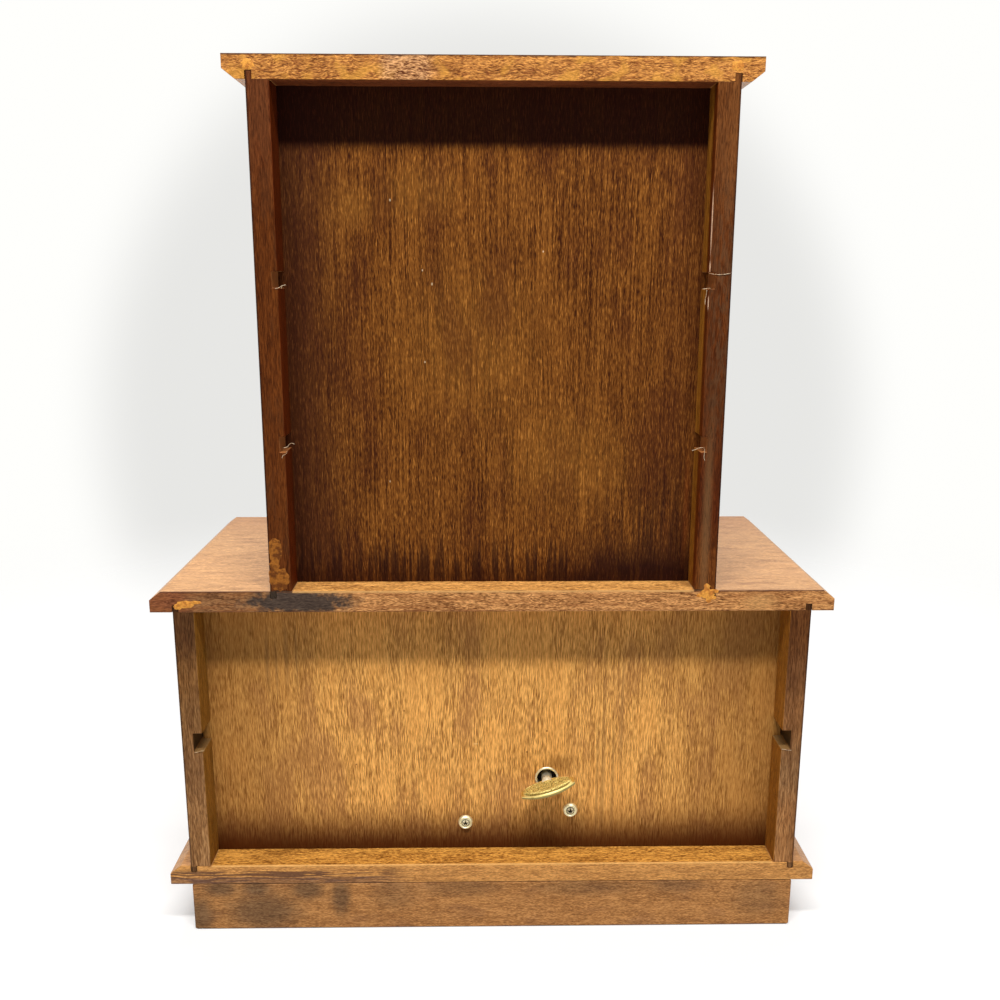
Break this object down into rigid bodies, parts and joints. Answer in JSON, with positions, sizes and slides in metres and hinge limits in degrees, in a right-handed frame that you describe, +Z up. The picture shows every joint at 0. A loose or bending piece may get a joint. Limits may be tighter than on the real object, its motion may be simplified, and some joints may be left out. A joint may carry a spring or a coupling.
{
  "type": "musical jewelry chest",
  "caption": "Wooden jewelry chest: narrow drawers on a wide case, with a musical movement behind the lower back panel, wound by a key in the rear recess.",
  "frame": {"origin": "on the surface that the chest stands on, under the middle of its whole box", "axes": "+Z up, -Y towards the drawer fronts, +Y towards the rear with the winding key, +X to the right when the chest is seen from the front"},
  "size_m": [0.29, 0.1486, 0.3715],
  "materials": {
    "board_wood": "planed and clear lacquered, semi-gloss",
    "side_wood": "stained and lacquered, darker at the rear edge",
    "upper_panel_wood": "dark reddish stain, fine vertical grain, satin",
    "lower_panel_wood": "golden brown vertical grain, satin",
    "shelf_wood": "clear lacquered, satin",
    "plinth_wood": "stained and lacquered, satin",
    "front_wood": "stained and lacquered, semi-gloss",
    "drawer_wood": "plain, thinly lacquered",
    "drawer_bottom_wood": "thin board, matte",
    "velvet": "short pile velvet on card, wine red",
    "knob_brass": "polished and lacquered",
    "key_brass": "pressed brass, slightly tarnished",
    "eyelet_brass": "rolled brass, bright",
    "screw_brass": "brass plated, bright",
    "zinc_metal": "zinc die casting, fine satin",
    "comb_steel": "ground spring steel",
    "spring_steel": "blued spring steel",
    "arbor_steel": "turned steel",
    "train_brass": "machined brass",
    "governor_plastic": "moulded nylon, off-white"
  },
  "bodies": {
    "case": {"base_board": "board_wood", "middle_board": "board_wood", "top_board": "board_wood", "lower_side_left": "side_wood", "lower_side_right": "side_wood", "upper_side_left": "side_wood", "upper_side_right": "side_wood", "upper_back_panel": "upper_panel_wood", "lower_back_panel": "lower_panel_wood", "lower_divider": "shelf_wood", "upper_dividers": "shelf_wood", "top_rail": "front_wood", "plinth_rails": "plinth_wood", "plinth_sides": "plinth_wood", "key_eyelet": "eyelet_brass", "movement_screws": "screw_brass", "screw_cups": "screw_brass", "movement_bedplate": "zinc_metal", "comb": "comb_steel", "comb_screws": "screw_brass", "governor_frame": "zinc_metal"},
    "upper_drawer_bottom": {"upper_drawer_bottom_front": "front_wood", "upper_drawer_bottom_sides": "drawer_wood", "upper_drawer_bottom_back": "drawer_wood", "upper_drawer_bottom_bottom": "drawer_bottom_wood", "upper_drawer_bottom_lining": "velvet", "upper_drawer_bottom_knob": "knob_brass"},
    "upper_drawer_middle": {"upper_drawer_middle_front": "front_wood", "upper_drawer_middle_sides": "drawer_wood", "upper_drawer_middle_back": "drawer_wood", "upper_drawer_middle_bottom": "drawer_bottom_wood", "upper_drawer_middle_lining": "velvet", "upper_drawer_middle_knob": "knob_brass"},
    "upper_drawer_top": {"upper_drawer_top_front": "front_wood", "upper_drawer_top_sides": "drawer_wood", "upper_drawer_top_back": "drawer_wood", "upper_drawer_top_bottom": "drawer_bottom_wood", "upper_drawer_top_lining": "velvet", "upper_drawer_top_knob": "knob_brass"},
    "lower_drawer_bottom": {"lower_drawer_bottom_front": "front_wood", "lower_drawer_bottom_sides": "drawer_wood", "lower_drawer_bottom_back": "drawer_wood", "lower_drawer_bottom_bottom": "drawer_bottom_wood", "lower_drawer_bottom_lining": "velvet", "lower_drawer_bottom_knobs": "knob_brass"},
    "lower_drawer_top": {"lower_drawer_top_front": "front_wood", "lower_drawer_top_sides": "drawer_wood", "lower_drawer_top_back": "drawer_wood", "lower_drawer_top_bottom": "drawer_bottom_wood", "lower_drawer_top_lining": "velvet", "lower_drawer_top_knobs": "knob_brass"},
    "winding": {"winding_key": "key_brass", "winding_arbor": "arbor_steel"},
    "spring_drum": {"spring_drum": "train_brass", "mainspring": "spring_steel"},
    "cylinder": {"pinned_cylinder": "train_brass", "cylinder_shaft": "train_brass"},
    "worm_wheel": {"worm_wheel": "governor_plastic"},
    "governor": {"governor_worm": "governor_plastic"},
    "stop_lever": {"stop_lever": "arbor_steel"}
  },
  "joints": [
    {"name": "upper_drawer_bottom_slide", "type": "slide", "parent": "case", "child": "upper_drawer_bottom", "axis": [0, -1, 0], "range_m": [0, 0.062]},
    {"name": "upper_drawer_middle_slide", "type": "slide", "parent": "case", "child": "upper_drawer_middle", "axis": [0, -1, 0], "range_m": [0, 0.062]},
    {"name": "upper_drawer_top_slide", "type": "slide", "parent": "case", "child": "upper_drawer_top", "axis": [0, -1, 0], "range_m": [0, 0.062]},
    {"name": "lower_drawer_bottom_slide", "type": "slide", "parent": "case", "child": "lower_drawer_bottom", "axis": [0, -1, 0], "range_m": [0, 0.06]},
    {"name": "lower_drawer_top_slide", "type": "slide", "parent": "case", "child": "lower_drawer_top", "axis": [0, -1, 0], "range_m": [0, 0.085]},
    {"name": "key_wind", "type": "hinge", "parent": "case", "child": "winding", "pos_m": [-0.0244, 0.06, 0.067], "axis": [0, -1, 0], "range_deg": [0, 1890]},
    {"name": "cylinder_turn", "type": "hinge", "parent": "case", "child": "cylinder", "pos_m": [0, 0.04265, 0.067], "axis": [1, 0, 0], "continuous": true},
    {"name": "drum_turn", "type": "hinge", "parent": "case", "child": "spring_drum", "pos_m": [-0.0244, 0.05, 0.067], "axis": [0, -1, 0], "continuous": true},
    {"name": "worm_wheel_turn", "type": "hinge", "parent": "case", "child": "worm_wheel", "pos_m": [0.019, 0.04265, 0.0758], "axis": [1, 0, 0], "continuous": true},
    {"name": "governor_turn", "type": "hinge", "parent": "case", "child": "governor", "pos_m": [0.01936, 0.03665, 0.08], "axis": [0, 0, 1], "continuous": true},
    {"name": "stop_lever_swing", "type": "hinge", "parent": "case", "child": "stop_lever", "pos_m": [0.02926, 0.03215, 0.083], "axis": [0, 0, -1], "range_deg": [0, 12.1]}
  ],
  "couplings": [
    {"joint": "drum_turn", "follows": "cylinder_turn", "ratio": 0.25},
    {"joint": "worm_wheel_turn", "follows": "cylinder_turn", "ratio": -4.5},
    {"joint": "governor_turn", "follows": "cylinder_turn", "ratio": -108},
    {"joint": "stop_lever_swing", "follows": "lower_drawer_bottom_slide", "rad_per_m": 3.49}
  ]
}
